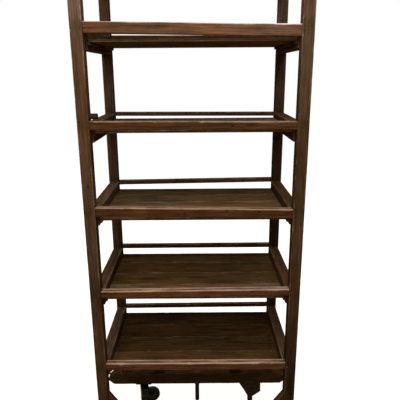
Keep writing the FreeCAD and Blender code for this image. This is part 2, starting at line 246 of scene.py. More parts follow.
def lathe(profile, centre, along, seed=0, steps=64, waver=0.0, closed=True):
    """A turned shape: every (radius, place) of the profile swept round the axis through centre.
    waver adds a slow random change of radius round the turn, as a casting or a worn tread has."""
    profile = np.array(profile, float)
    along = np.array(along, float) / np.linalg.norm(along)
    across = np.cross(along, UP) if abs(along[2]) < 0.9 else np.array([1.0, 0, 0])
    across /= np.linalg.norm(across)
    third = np.cross(along, across)
    rng = np.random.default_rng(seed)
    angle = np.linspace(0, 2 * math.pi, steps, endpoint=False)
    wave = sum(np.sin(k * angle + rng.random() * 6.3) / k for k in (2, 3, 5))
    radius = profile[:, :1] * np.ones((1, steps)) + waver * wave
    outward = np.cos(angle)[:, None] * across + np.sin(angle)[:, None] * third
    world = np.array(centre) + radius[..., None] * outward + profile[:, 1][:, None, None] * along
    grain = np.stack([profile[:, 1:2] + 0 * radius, radius * np.cos(angle), radius * np.sin(angle)], axis=-1)
    grain = grain + rng.random(3)
    return Grid(world, grain, np.zeros(radius.shape), np.ones(radius.shape), closed)


def solid_lathe(profile, soft, centre, along, seed=0, steps=48, waver=0.0, curve=4):
    """A solid turned piece: a flat face closes the profile at each end, its corners are rounded by the radii
    in soft, and the whole is swept round."""
    ends = [(CORE_RADIUS, profile[0][1]), *profile, (CORE_RADIUS, profile[-1][1])]
    return lathe(rounded(ends, soft, curve, cut_ends=True), centre, along, seed, steps, waver, closed=False)


def grid_faces(rows, columns, closed_rows, first):
    """Quads between neighbouring rings of a grid whose columns close up, and one flat face over each end
    ring."""
    ring = np.arange(columns)
    start = np.arange(rows if closed_rows else rows - 1)[:, None] * columns
    after = (start + columns) % (rows * columns)
    following = (ring + 1) % columns
    quads = np.stack([start + ring, start + following, after + following, after + ring], axis=-1)
    faces = (quads.reshape(-1, 4) + first).tolist()
    if not closed_rows:
        faces.append((ring[::-1] + first).tolist())
        faces.append((ring + (rows - 1) * columns + first).tolist())
    return faces


def build_piece(name, grids, material, body, nodes):
    """Joins grids into one object, with the grain, worn and tone attributes that its material reads."""
    faces, total = [], 0
    for grid in grids:
        rows, columns = grid.tone.shape
        faces += grid_faces(rows, columns, grid.closed, total)
        total += rows * columns
    mesh = bpy.data.meshes.new(name)
    mesh.from_pydata(np.concatenate([grid.world.reshape(-1, 3) for grid in grids]).tolist(), [], faces)
    for label, kind, field in (("grain", "FLOAT_VECTOR", "vector"), ("worn", "FLOAT", "value"),
                               ("tone", "FLOAT", "value")):
        values = np.concatenate([getattr(grid, label).ravel() for grid in grids])
        mesh.attributes.new(label, kind, "POINT").data.foreach_set(field, values)
    finish_piece(name, mesh, material, body, nodes)


def finish_piece(name, mesh, material, body, nodes, smooth=40.0):
    """Makes the object, shades it smooth up to an angle, ties it to its body and hides its nodes."""
    mesh.validate()
    mesh.materials.clear()
    mesh.materials.append(material)
    mesh.shade_smooth()
    mesh.set_sharp_from_angle(angle=math.radians(smooth))
    piece = bpy.data.objects.new(name, mesh)
    bpy.context.scene.collection.objects.link(piece)
    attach(piece, body)
    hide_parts(*nodes)


# ---- materials


def add(tree, kind, inputs=(), output=None, stops=(), **settings):
    """Adds one node with its settings and colour stops, and feeds its inputs, in order or by name, from
    numbers, colours or sockets. Returns the output that is asked for, or else the first one in use."""
    node = tree.nodes.new("ShaderNode" + kind)
    for key, value in settings.items():
        setattr(node, key, value)
    for number, (place, colour) in enumerate(stops):
        elements = node.color_ramp.elements
        if number == len(elements):
            elements.new(1.0)
        elements[number].position, elements[number].color = place, colour
    for key, value in inputs.items() if isinstance(inputs, dict) else enumerate(inputs):
        if isinstance(value, bpy.types.NodeSocket):
            tree.links.new(value, node.inputs[key])
        else:
            node.inputs[key].default_value = value
    return node.outputs[output] if output else next((socket for socket in node.outputs if socket.enabled), None)


def weighted_sum(tree, *terms, start=0.0):
    """start plus each socket times its weight."""
    for socket, weight in terms:
        start = add(tree, "Math", (socket, weight, start), operation="MULTIPLY_ADD")
    return start


def new_material(name):
    """A material, its node tree and its shader."""
    material = bpy.data.materials.new(name)
    material.use_nodes = True
    return material, material.node_tree, material.node_tree.nodes["Principled BSDF"]


def finish_shader(tree, shader, colour, roughness, height, strength, depth, specular, metallic=0.0):
    """Feeds the shader its colour, its roughness and a bump of the height, depth metres deep."""
    bump = add(tree, "Bump", {"Height": height, "Strength": strength, "Distance": depth})
    for key, socket in (("Base Color", colour), ("Roughness", roughness), ("Normal", bump)):
        tree.links.new(socket, shader.inputs[key])
    shader.inputs["Specular IOR Level"].default_value = specular
    shader.inputs["Metallic"].default_value = metallic


def timber_material(name, kind, rub_amount, soil_amount, roughness):
    """Old softwood or beech, sawn, stained dark and worn by hand: bands of late wood, broken fibre streaks,
    dark dents and short drying checks, pale rubbed arrises, and stains where flour and grease have sat."""
    s = settings().timber
    dark, middle, light = (getattr(s, kind + shade) for shade in ("_dark", "_middle", "_light"))
    material, tree, shader = new_material(name)
    node = partial(add, tree)
    grain, worn, tone = (node("Attribute", (), output, attribute_name=label)
                         for label, output in (("grain", "Vector"), ("worn", "Fac"), ("tone", "Fac")))

    def stretched(along, across, detail=3.0, rough=0.55, offset=0.0):
        """Noise in the timber's own directions; the sizes are millimetres along and across the grain."""
        place = node("Mapping", {"Vector": grain, "Location": (offset, offset * 0.7, offset * 1.3),
                                 "Scale": (1000 / along, 1000 / across, 1000 / across)})
        return node("TexNoise", {"Vector": place, "Scale": 1.0, "Detail": detail, "Roughness": rough}, "Fac")

    # Growth rings: cylinders about a pith that lies outside the piece and wanders along it, 7 mm a ring where
    # they meet the face, which is coarser than the real 2 to 3 mm so that they show at arm's length. At scale
    # 1 the wave texture repeats every 0.314.
    place = node("Mapping", {"Vector": grain, "Scale": (1000 / 420, 1000 / 60, 1000 / 60)})
    bend = node("TexNoise", {"Vector": place, "Scale": 1.0, "Detail": 2.0, "Roughness": 0.5}, "Color")
    shift = node("VectorMath", (bend, (0.0, 0.034, 0.034), grain), operation="MULTIPLY_ADD")
    rings = node("TexWave", {"Vector": shift, "Scale": 0.314 / 0.0070, "Distortion": 0.0, "Detail": 0.0}, "Fac",
                 wave_type="RINGS", rings_direction="X", wave_profile="SAW")
    late_wood = node("MapRange", (rings, 0.55, 1.0))

    streaks = stretched(150, 5.0, 4.0, 0.6)
    fibres = stretched(38, 0.9, 3.0, 0.6, 3.1)
    stains = stretched(190, 55, 3.0, 0.6, 7.7)
    smears = stretched(60, 16, 4.0, 0.65, 1.9)
    figure = weighted_sum(tree, (streaks, 0.75), (fibres, 0.30), (late_wood, -0.10), (smears, 0.34))
    colour = node("ValToRGB", (node("MapRange", (figure, 0.40, 0.90)),),
                  stops=((0.0, dark), (0.45, middle), (1.0, light)))
    soil = node("MapRange", (stains, 0.46, 0.70, 0.0, soil_amount))
    colour = node("Mix", {0: soil, 6: colour, 7: s.soiled}, data_type="RGBA")

    # Short drying checks, under 1 mm wide: the thin crest of a noise stretched along the grain.
    crest = node("Math", (stretched(210, 7.0, 2.0, 0.5, 11.3), 0.5), operation="SUBTRACT")
    crack = node("MapRange", (node("Math", (crest,), operation="ABSOLUTE"), 0.0, 0.012, 1.0, 0.0))
    somewhere = node("MapRange", (stretched(120, 30, 1.0, offset=5.3), 0.56, 0.62))
    crack = node("Math", (crack, somewhere), operation="MULTIPLY")
    # Dents and filled nail holes, 2 to 5 mm, sparse.
    place = node("Mapping", {"Vector": grain, "Scale": (1000 / 34, 1000 / 15, 1000 / 15)})
    dents = node("TexVoronoi", {"Vector": place, "Scale": 1.0}).node.outputs
    chosen = node("MapRange", (node("SeparateColor", (dents["Color"],)), 0.70, 0.76))
    inside = node("MapRange", (dents["Distance"], 0.10, 0.22, 1.0, 0.0))
    dent = node("Math", (inside, chosen), operation="MULTIPLY")
    marks = node("Math", (crack, dent), operation="MAXIMUM")
    shade = node("Math", (marks, 0.75), operation="MULTIPLY")
    colour = node("Mix", {0: shade, 6: colour, 7: s.checks}, data_type="RGBA")

    bare = weighted_sum(tree, (smears, 0.9), (streaks, 0.5), start=worn)
    bare = node("MapRange", (bare, 1.12, 1.75, 0.0, rub_amount))
    colour = node("Mix", {0: bare, 6: colour, 7: s.rubbed}, data_type="RGBA")

    # Each plank is redder or yellower over a hand's width, and greyer where it is pale and its stain has
    # washed out.
    hue = node("MapRange", (stretched(330, 90, 1.0, offset=17.9), 0.38, 0.62))
    pale = node("MapRange", (tone, 0.75, 1.5))
    for factor, first, second in ((hue, (1.06, 0.96, 0.84, 1), (0.96, 1.02, 1.02, 1)),
                                  (pale, (1.02, 0.98, 0.95, 1), (0.95, 1.09, 1.55, 1))):
        tint = node("Mix", {0: factor, 6: first, 7: second}, data_type="RGBA")
        colour = node("Mix", {0: 1.0, 6: colour, 7: tint}, data_type="RGBA", blend_type="MULTIPLY")
    # The tone scales the whole colour; besides each piece's own paleness it carries the painted shade and light
    # of the tone tables and the painted shade at the joints.
    colour = node("VectorMath", {0: colour, "Scale": tone}, operation="SCALE")

    gloss = weighted_sum(tree, (smears, -0.28), (marks, 0.2), start=roughness + 0.16)
    height = weighted_sum(tree, (fibres, 0.5), (streaks, 0.6), (marks, -0.9), (late_wood, -0.12))
    # Dry, open grain has no sheen, even where light grazes it.
    finish_shader(tree, shader, colour, gloss, height, strength=0.65, depth=0.7 * MM, specular=0.0)
    return material


def iron_material(name, kind, rough, metallic, sand, shine_amount):
    """Grey cast or forged iron, left bare: a sandy skin in the casting, sand millimetres a grain, brown rust
    bloom in the hollows and dull bright metal where edges rub."""
    s = settings().iron
    material, tree, shader = new_material(name)
    node = partial(add, tree)
    place = node("TexCoord", (), "Object")

    def noise(size_mm, detail=3.0):
        inputs = {"Vector": place, "Scale": 1000 / size_mm, "Detail": detail, "Roughness": 0.6}
        return node("TexNoise", inputs, "Fac")

    cloud, bloom, skin = noise(26.0), noise(7.0, 4.0), noise(sand * 1.6, 2.0)
    colour = node("ValToRGB", (weighted_sum(tree, (cloud, 0.6), (skin, 0.4)),),
                  stops=((0.30, getattr(s, kind + "_dark")), (0.72, getattr(s, kind + "_light"))))
    rusty = node("Math", (node("MapRange", (cloud, 0.42, 0.62)), node("MapRange", (bloom, 0.38, 0.66))),
                 operation="MULTIPLY")
    edge = node("MapRange", (node("NewGeometry", (), "Pointiness"), 0.515, 0.60))
    shine = node("Math", (edge, node("MapRange", (bloom, 0.30, 0.55, 0.3, 1.0))), operation="MULTIPLY")
    for share, amount, other in ((rusty, 0.5, s.rust), (shine, shine_amount, s.edge)):
        factor = node("Math", (share, amount), operation="MULTIPLY")
        colour = node("Mix", {0: factor, 6: colour, 7: other}, data_type="RGBA")
    gloss = weighted_sum(tree, (bloom, 0.25), (rusty, 0.2), start=rough - 0.10)
    height = weighted_sum(tree, (bloom, 0.8), start=skin)
    finish_shader(tree, shader, colour, gloss, height, strength=0.5, depth=0.5 * MM, specular=0.05,
                  metallic=metallic)
    return material


# For each timber finish: which colours it takes, how far it is rubbed and soiled, and its roughness
TIMBER_FINISHES = {
    "Stained sawn timber, posts": ("post", 0.3, 0.5, 0.6),
    "Stained sawn timber, rails": ("rail", 1.0, 0.5, 0.6),
    "Stained sawn timber, boards": ("board", 0.3, 0.65, 0.55),
    "Dusty sawn timber, base": ("base", 0.15, 0.6, 0.7),
    "Turned beech, pegs": ("peg", 0.5, 0.5, 0.6),
}
# For each iron finish: which colours it takes, its roughness, metallic share and sand grain, and how its
# edges shine
IRON_FINISHES = {
    "Sand-cast iron": ("cast", 0.55, 0.65, 0.9, 0.5),
    "Cast iron, worn tread": ("wheel", 0.5, 0.65, 0.9, 0.7),
    "Forged iron": ("forged", 0.62, 0.45, 0.5, 0.5),
}


def finish_of(name):
    """A finish by its plain name, made the first time it is asked for."""
    if name in bpy.data.materials:
        return bpy.data.materials[name]
    if name in TIMBER_FINISHES:
        return timber_material(name, *TIMBER_FINISHES[name])
    return iron_material(name, *IRON_FINISHES[name])


# ---- settings


def colour_property(name, description, code):
    return bpy.props.FloatVectorProperty(
        name=name, description=description, subtype="COLOR", size=4, min=0, max=1, default=linear(code))


def length_property(name, description, default):
    return bpy.props.FloatProperty(
        name=name, description=description, default=default, min=0, unit="LENGTH", subtype="DISTANCE")


class TimberSettings(bpy.types.PropertyGroup):
    arris: length_property("Arris", "Usual radius of a worn edge", 1.6 * MM)
    chip: length_property("Chip", "How deep the deepest bites in an edge go", 2.4 * MM)
    hollow: length_property("Hollow", "How far a face sinks between its edges", 0.35 * MM)
    post_dark: colour_property("Post dark", "Darkest streaks of the posts", "#3b291a")
    post_middle: colour_property("Post middle", "Main colour of the posts", "#533c27")
    post_light: colour_property("Post light", "Palest streaks of the posts", "#6b5038")
    rail_dark: colour_property("Rail dark", "Darkest streaks of the rails", "#351f10")
    rail_middle: colour_property("Rail middle", "Main colour of the rails", "#5a3a23")
    rail_light: colour_property("Rail light", "Palest streaks of the rails", "#7e5636")
    board_dark: colour_property("Board dark", "Darkest streaks of the boards", "#33230f")
    board_middle: colour_property("Board middle", "Main colour of the boards", "#523a1e")
    board_light: colour_property("Board light", "Palest streaks of the boards", "#6e5332")
    base_dark: colour_property("Base dark", "Darkest streaks of the bolsters", "#22170a")
    base_middle: colour_property("Base middle", "Main colour of the bolsters", "#3f2e17")
    base_light: colour_property("Base light", "Palest streaks of the bolsters", "#563f22")
    peg_dark: colour_property("Peg dark", "Darkest part of the pegs", "#2a1b11")
    peg_middle: colour_property("Peg middle", "Main colour of the pegs", "#4a3423")
    peg_light: colour_property("Peg light", "Palest part of the pegs", "#6d5039")
    rubbed: colour_property("Rubbed", "Bare wood where hands and trays rub", "#b99e87")
    soiled: colour_property("Soiled", "Grease and smoke stains", "#2f2014")
    checks: colour_property("Checks", "Inside of drying checks, dents and nail holes", "#20140c")


# The iron colours are near black: the iron's own blackening, darkened further by painted shade standing for the
# shade under the bottom shelf.
class IronSettings(bpy.types.PropertyGroup):
    cast_dark: colour_property("Cast dark", "Hollows of the castings", "#110b05")
    cast_light: colour_property("Cast light", "Raised skin of the castings", "#251b0f")
    wheel_dark: colour_property("Wheel dark", "Hollows of the wheels", "#100a05")
    wheel_light: colour_property("Wheel light", "Tread and faces of the wheels", "#261c12")
    forged_dark: colour_property("Forged dark", "Scale on the forged parts", "#150c05")
    forged_light: colour_property("Forged light", "Bright forged metal", "#2b1b0d")
    rust: colour_property("Rust", "Brown rust bloom", "#33200f")
    edge: colour_property("Edge", "Dull bright metal on rubbed edges", "#2e2216")


class StageSettings(bpy.types.PropertyGroup):
    floor: colour_property("Floor", "The light that the floor sends back up", "#9a866c")
    floor_white: bpy.props.FloatProperty(
        name="Floor white", description="How white the floor looks under the rack",
        default=0.9, min=0.0, max=1.0, subtype="FACTOR")
    air: colour_property("Air", "Colour of the light from all round", "#f3f0ec")
    air_strength: bpy.props.FloatProperty(
        name="Air strength", description="Strength of the light from all round",
        default=0.11, min=0.0, max=1.0, subtype="FACTOR")
    lamp_power: bpy.props.FloatProperty(
        name="Lamp power", description="Strength of the high front lamp", default=67.0, min=0.0, unit="POWER")


class BreadRackSettings(bpy.types.PropertyGroup):
    timber: bpy.props.PointerProperty(
        type=TimberSettings, name="Timber", description="Wear and colours of the timber")
    iron: bpy.props.PointerProperty(type=IronSettings, name="Iron", description="Colours of the iron parts")
    stage: bpy.props.PointerProperty(type=StageSettings, name="Stage", description="Floor, lamps and air")


# ---- pieces


def place_of(node):
    """The lowest and the highest corner of a node's box."""
    low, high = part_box(node)
    return np.array(low), np.array(high)


def points_of(mesh):
    """A mesh's vertices, one in each row."""
    points = np.empty(len(mesh.vertices) * 3)
    mesh.vertices.foreach_get("co", points)
    return points.reshape(-1, 3)


def cross_bar(node):
    """Where a bar that lies across the rack is: the middle of its box, its length, depth and height, and how
    many radians its right end hangs down, all from the upper and lower corners at its two ends."""
    points = points_of(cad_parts[node].data)
    low, high = place_of(node)
    left, right = points[points[:, 0] < 0][:, (0, 2)], points[points[:, 0] > 0][:, (0, 2)]
    left_top, right_top = left[left[:, 1].argmax()], right[right[:, 1].argmax()]
    left_low = left[left[:, 1].argmin()]
    span_x, span_z = right_top - left_top
    size = (math.hypot(span_x, span_z), high[1] - low[1], np.linalg.norm(left_top - left_low))
    return (low + high) / 2, np.array(size), -math.atan2(span_z, span_x)


def tip_over(grid, middle, fall):
    """Turns a grid about the line through middle along Y, so that its right end goes down by fall radians."""
    x, z = grid.world[..., 0] - middle[0], grid.world[..., 2] - middle[2]
    grid.world[..., 0] = middle[0] + x * math.cos(fall) + z * math.sin(fall)
    grid.world[..., 2] = middle[2] - x * math.sin(fall) + z * math.cos(fall)
    return grid


def timber(low, high, seed, **more):
    """A worn bar with the arris, chip and hollow that the settings give."""
    s = settings().timber
    return worn_bar(low, high, seed, **{"edge": s.arris, "chip": s.chip, "hollow": s.hollow, **more})


def side_rail_bars(low, high, seed, more):
    """A side rail as three bars: the rail between the posts, and at each end the narrower part that stands in
    the post, flush with the rail's outer face."""
    side = 1 if low[0] > 0 else -1
    outer = high[0] if side > 0 else low[0]
    narrow = sorted((outer, outer - side * SIDE_END_THICKNESS))
    first, last = low.copy(), high.copy()
    first[1], last[1] = low[1] + HOUSING_DEPTH, high[1] - HOUSING_DEPTH
    bars = [timber(first, last, seed, **more)]
    for start, stop in ((low[1], first[1] + 2 * TUCK), (last[1] - 2 * TUCK, high[1])):
        bars.append(timber((narrow[0] + TUCK, start, low[2] + TUCK), (narrow[1] - TUCK, stop, high[2] - TUCK),
                           seed, sweep=1, edge=0.6 * MM, chip=0.0, ends=0.4 * MM))
    return bars


def knee_brace(node, side, seed):
    """A slanting strut: a worn bar along the slope. Each line along it is stretched from where its depth in
    the bar meets the level of the bolster to where it meets the upright face of the post."""
    low, high = place_of(node)
    rise, reach = high[2] - low[2], high[0]
    slope = math.radians(BRACE_ANGLE)
    foot = reach - rise / math.tan(slope)
    along, up = np.array([math.cos(slope), math.sin(slope)]), np.array([math.sin(slope), -math.cos(slope)])
    width, thick = BRACE_WIDTH, high[1] - low[1]
    usual = (rise - width / math.cos(slope) / 2) / math.sin(slope)
    bar = timber((0, 0, 0), (usual, thick, width), seed, step=5 * MM, ends=0.8 * MM)
    part, deep = bar.world[..., 0] / usual, bar.world[..., 2]
    start = deep * math.cos(slope) / math.sin(slope)
    stop = (reach - foot - deep * up[0]) / along[0]
    run = start + part * (stop - start)
    placed = np.stack([side * (foot + run * along[0] + deep * up[0]), low[1] + bar.world[..., 1],
                       low[2] + run * along[1] + deep * up[1]], axis=-1)
    if side > 0:
        # The bar is turned over here, so its rings run the other way round to keep its faces outwards.
        return Grid(placed[:, ::-1], bar.grain[:, ::-1], bar.worn[:, ::-1], bar.tone, False)
    return bar._replace(world=placed)


def cast_yoke(name, pivot, centre, along, finish):
    """The yoke as a casting: its solid as a fine even mesh whose edges are softened as a sand mould softens
    them. Then every point just inside a bore moves straight out from the bore's axis to its exact radius."""
    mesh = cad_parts[name + "_yoke"].data.copy()
    work = bmesh.new()
    work.from_mesh(mesh)
    bmesh.ops.remove_doubles(work, verts=work.verts, dist=0.01 * MM)
    work.to_mesh(mesh)
    work.free()
    draft = bpy.data.objects.new("draft", mesh)
    bpy.context.scene.collection.objects.link(draft)
    even = draft.modifiers.new("even", "REMESH")
    even.mode, even.voxel_size = "VOXEL", CAST_VOXEL
    soft = draft.modifiers.new("soft", "SMOOTH")
    soft.factor, soft.iterations = 0.5, 7
    casting = bpy.data.meshes.new_from_object(draft.evaluated_get(bpy.context.evaluated_depsgraph_get()))
    bpy.data.objects.remove(draft)
    points = points_of(casting)
    # The king pin's bore is mended only from the pin's lower end upwards, and the axle's bore all the way
    # through.
    pin_end = place_of(name + "_plate")[0][2] - MM
    for origin, axis, radius, lowest in ((centre, along, AXLE_RADIUS, -1.0),
                                         (pivot, np.array(UP), KING_PIN_RADIUS + CLEARANCE, pin_end)):
        offset = points - origin
        offset = offset - (offset @ axis)[:, None] * axis
        far = np.linalg.norm(offset, axis=1)
        near = (far < radius + BORE_REACH) & (far > 0.55 * radius) & (points[:, 2] > lowest)
        push = np.where(near, np.clip(radius - far, 0, None) / np.maximum(far, 1e-6), 0)
        points = points + offset * push[:, None]
    casting.vertices.foreach_set("co", points.ravel())
    casting.update()
    finish_piece("cast_%s_yoke" % name, casting, finish, name, [name + "_yoke"], smooth=60.0)


def mirrored(side):
    """A whole profile from one half of it: the half at negative places, and then the half itself,
    backwards."""
    return [(radius, -place) for radius, place in side] + list(side)[::-1]


def slotted_screw(place, seed):
    """A countersunk screw seen from below: a flat head on a short shank. The slot sinks every point of the
    head that is nearer than half its width to a line through the middle, a little less where the head rounds
    off."""
    flat = np.linspace(0.2, 4.6, 14) * MM
    radius = np.concatenate([flat, [SCREW_HEAD - 0.1 * MM, SCREW_HEAD, SCREW_HEAD, SCREW_SHANK, SCREW_SHANK]])
    rise = np.concatenate([0 * flat, np.array([0.1, 0.35, 1.6, 1.7]) * MM, [SCREW_LENGTH]])
    slotted = np.concatenate([1 + 0 * flat, [0.9, 0.75, 0, 0, 0]])[:, None]
    grid = lathe(np.stack([radius, rise], axis=1), place, UP, seed, 72, closed=False)
    turn = np.random.default_rng(seed).random() * math.pi
    across = (grid.world - np.array(place)) @ np.array([math.sin(turn), -math.cos(turn), 0])
    grid.world[..., 2] += np.clip((SLOT_HALF - np.abs(across)) / SLOT_WALL, 0, 1) * SLOT_DEPTH * slotted
    return grid


def threaded_rod(middle, low, high, radius, seed, steps=40):
    """A round rod with a thread: at each place and turn the radius is less by the thread's depth, which goes
    from crest to root and back once a pitch and once a turn, and by the taper of the point at the lower
    end."""
    place = np.concatenate([np.arange(low, high, 0.4 * MM), [high]])
    profile = np.stack([place * 0 + radius, place], axis=1)
    rod = lathe(profile, middle, UP, seed, steps, closed=False)
    turn = np.linspace(0, 1, steps, endpoint=False)
    phase = (place[:, None] / THREAD_PITCH - turn) % 1
    depth = THREAD_DEPTH * np.clip(np.abs(2 * phase - 1) * 1.5 - 0.25, 0, 1)
    taper = np.clip(THREAD_POINT - (place - low), 0, THREAD_POINT)
    hub = np.array(middle) + place[:, None, None] * np.array(UP)
    share = (radius - depth - taper[:, None]) / radius
    return rod._replace(world=hub + (rod.world - hub) * share[..., None])


# How pale each piece is, 1 being the usual: posts from foot to top, the rails of tiers 1 to 6 from left to
# right, and the boards of tiers 1 to 6 from the front one to the rear one.
# The posts' tones are partly painted shade, darker towards the foot where less light falls, and painted light,
# paler near the top.
POST_TONES_AND_PAINTED_SHADE = {"front_left": (0.68, 0.75, 0.85, 0.86, 1.08, 2.3),
              "front_right": (0.38, 0.4, 0.74, 0.68, 1.0, 1.95),
              "rear_left": (0.7, 0.8, 0.85, 1.15, 0.95, 1.2),
              "rear_right": (0.6, 0.5, 0.5, 0.55, 1.35, 1.0)}
RAIL_TONES = {"front_rail": ((0.9,), (0.88,), (0.65,), (0.58,), (0.95, 1.15, 1.7), (1.3,)),
              "rear_guard": ((0.9,), (0.92,), (1.35,), (1.2,), (1.0,), (1.0,)),
              "left_side_rail": ((1.15,), (0.95,), (1.45,), (1.3,), (1.0,), (1.0,)),
              "right_side_rail": ((0.9,), (0.9,), (0.8,), (1.0,), (1.0,), (1.0,))}
# The boards of the two lowest tiers are paler at the front and darker towards the rear: painted light and
# shade, the shelf above shading the rear.
BOARD_TONES_AND_PAINTED_SHADE = ((0.9, 0.6, 0.55, 0.48), (1.5, 0.9, 0.85, 0.95), (1.25, 1.65, 1.5, 1.35), (1.8, 1.8, 1.8, 1.8),
               (1.6, 1.6, 1.6, 1.6), (1.2, 1.1, 1.2, 1.1))
# For each kind of rail: its first seed, how far its top is rubbed, and its share of the usual arris and chip
RAIL_KINDS = {"front_rail": (100, 0.55, 1.0), "rear_guard": (200, 0.15, 0.7),
              "left_side_rail": (300, 0.05, 1.0), "right_side_rail": (400, 0.05, 1.0)}


class BREADRACK_OT_posts(bpy.types.Operator):
    """Build the four corner posts"""

    bl_idname = "bread_rack.posts"
    bl_label = "Posts"

    def execute(self, context):
        finish = finish_of("Stained sawn timber, posts")
        for number, corner in enumerate(CORNERS):
            low, high = place_of(corner + "_post")
            low[2] = place_of(corner.split("_")[0] + "_bolster")[1][2] - POST_SINK
            bar = timber(low, high, 11 + number, ends=2.2 * MM, tones=POST_TONES_AND_PAINTED_SHADE[corner])
            # Each post is darker in a band round every joint, a little below the top of each rail: painted
            # shade where rail and post meet, with grime.
            for tier in TIERS:
                joint = place_of("front_rail_%d" % tier)[1][2] - JOINT_SHADE_AND_GRIME_BELOW
                bar.tone[...] *= 1 - JOINT_SHADE_AND_GRIME_SHARE * np.exp(-((bar.world[..., 2] - joint) / JOINT_SHADE_AND_GRIME_REACH) ** 2)
            build_piece("post_" + corner, [bar], finish, "rack", [corner + "_post"])
        return {"FINISHED"}


class BREADRACK_OT_rails(bpy.types.Operator):
    """Build the front rails, rear guards and side rails of every tier, and the cleats"""

    bl_idname = "bread_rack.rails"
    bl_label = "Rails"

    def execute(self, context):
        finish, side_finish = finish_of("Stained sawn timber, rails"), finish_of("Stained sawn timber, posts")
        s = settings().timber
        for kind, (first, rub, share) in RAIL_KINDS.items():
            for tier in TIERS:
                node, seed = "%s_%d" % (kind, tier), first + tier
                more = {"rub": rub, "edge": s.arris * share, "chip": s.chip * share, "ends": 0.6 * MM,
                        "tones": RAIL_TONES[kind][tier - 1]}
                if "side" in kind:
                    bars, coat = side_rail_bars(*place_of(node), seed, more), side_finish
                else:
                    middle, size, fall = cross_bar(node)
                    bar = timber(middle - size / 2, middle + size / 2, seed, **more)
                    # Trays and hands rub the upper edges only.
                    rise = (bar.world[..., 2] - middle[2]) / size[2] + 0.5
                    bar.worn[...] *= 0.2 + 0.8 * np.clip(rise, 0, 1) ** 2
                    bars, coat = [tip_over(bar, middle, fall)], finish
                build_piece("timber_" + node, bars, coat, "rack", [node])
        bars = []
        for tier in TIERS:
            board_low = place_of("shelf_boards_%d" % tier)[0]
            for hand, side in HANDS.items():
                rail_low, rail_high = place_of("%s_side_rail_%d" % (hand, tier))
                inner = rail_high[0] if side < 0 else rail_low[0]
                x = sorted((inner, inner - side * CLEAT_WIDTH))
                low = np.array([x[0], rail_low[1] + HOUSING_DEPTH, board_low[2] - CLEAT_HEIGHT])
                high = np.array([x[1], rail_high[1] - HOUSING_DEPTH, board_low[2]])
                seed = 500 + tier * 2 + (side > 0)
                bars.append(timber(low, high, seed, step=8 * MM, edge=0.7 * MM, tones=[0.7]))
        build_piece("timber_cleats", bars, finish, "rack", ["shelf_cleats"])
        return {"FINISHED"}


class BREADRACK_OT_boards(bpy.types.Operator):
    """Build the four loose boards of every tier"""

    bl_idname = "bread_rack.boards"
    bl_label = "Boards"

    def execute(self, context):
        finish = finish_of("Stained sawn timber, boards")
        for tier in TIERS:
            node = "shelf_boards_%d" % tier
            low, high = place_of(node)
            width = (high[1] - low[1] - (BOARDS_PER_TIER - 1) * BOARD_GAP) / BOARDS_PER_TIER
            bars = []
            for number in range(BOARDS_PER_TIER):
                start, stop = low.copy(), high.copy()
                start[1] = low[1] + number * (width + BOARD_GAP)
                stop[1] = start[1] + width
                bars.append(timber(start, stop, 600 + tier * 10 + number, edge=1.0 * MM, chip=1.2 * MM,
                                   hollow=0.5 * MM, ends=0.8 * MM, tones=[BOARD_TONES_AND_PAINTED_SHADE[tier - 1][number]]))
            build_piece("board_set_%d" % tier, bars, finish, "rack", [node])
        return {"FINISHED"}


class BREADRACK_OT_base(bpy.types.Operator):
    """Build the two bolsters under the posts and their knee braces"""

    bl_idname = "bread_rack.base"
    bl_label = "Base"

    def execute(self, context):
        finish = finish_of("Dusty sawn timber, base")
        for number, end in enumerate(ENDS):
            low, high = place_of(end + "_bolster")
            length, tall = high[0] - low[0], high[2] - low[2]
            drop = tall - BOLSTER_RISE_BELOW - BOLSTER_END_FLAT

            def taper(place):
                """The section's lowest and highest height: level, but cut back near each end by a straight
                line below and a longer one above."""
                near = np.clip(np.minimum(place, length - place), 0, None)
                under = np.clip(1 - near / BOLSTER_CUT_BELOW, 0, 1) * BOLSTER_RISE_BELOW
                over = np.clip(1 - near / BOLSTER_CUT_ABOVE, 0, 1) * drop
                return under, tall - over

            bar = timber(low, high, 700 + number, shape=taper, step=3.5 * MM)
            build_piece("timber_%s_bolster" % end, [bar], finish, "rack", [end + "_bolster"])
            node = end + "_knee_braces"
            bars = [knee_brace(node, side, 710 + number * 2 + (side > 0)) for side in (-1, 1)]
            build_piece("timber_" + node, bars, finish, "rack", [node])
        return {"FINISHED"}


class BREADRACK_OT_pegs(bpy.types.Operator):
    """Build the peg heads at the rail ends and the stub peg on the front left post"""

    bl_idname = "bread_rack.pegs"
    bl_label = "Pegs"

    def execute(self, context):
        finish = finish_of("Turned beech, pegs")
        heads = []
        for tier in TIERS:
            for node, post, outward in (("front_rail_%d" % tier, "front_left_post", -1.0),
                                        ("rear_guard_%d" % tier, "rear_left_post", 1.0)):
                middle, size, fall = cross_bar(node)
                y = place_of(post)[outward > 0][1]
                for side in HANDS.values():
                    x = side * (size[0] / 2 - HOUSING_DEPTH / 2)
                    seed = 800 + tier * 4 + (side > 0) + (outward > 0) * 2
                    heads.append(solid_lathe([(PEG_RADIUS, -PEG_DEPTH), (PEG_RADIUS, PEG_PROUD)], 0.8 * MM,
                                             (x, y, middle[2] - x * math.tan(fall)), (0, outward, 0), seed, 28,
                                             waver=0.08 * MM))
        build_piece("peg_heads", heads, finish, "rack", ["rail_pegs"])

        low, high = place_of("stub_peg")
        radius, length = (high[2] - low[2]) / 2, high[0] - low[0]
        stub = solid_lathe([(radius, 0), (radius, length)], np.array([0.1, 0.1, 3.4, 0.1]) * MM,
                           (low[0], (low[1] + high[1]) / 2, (low[2] + high[2]) / 2), (1, 0, 0), 900,
                           waver=0.1 * MM, curve=6)
        stub.tone[...] *= STUB_TONE
        build_piece("stub_peg_turned", [stub], finish, "rack", ["stub_peg"])
        return {"FINISHED"}


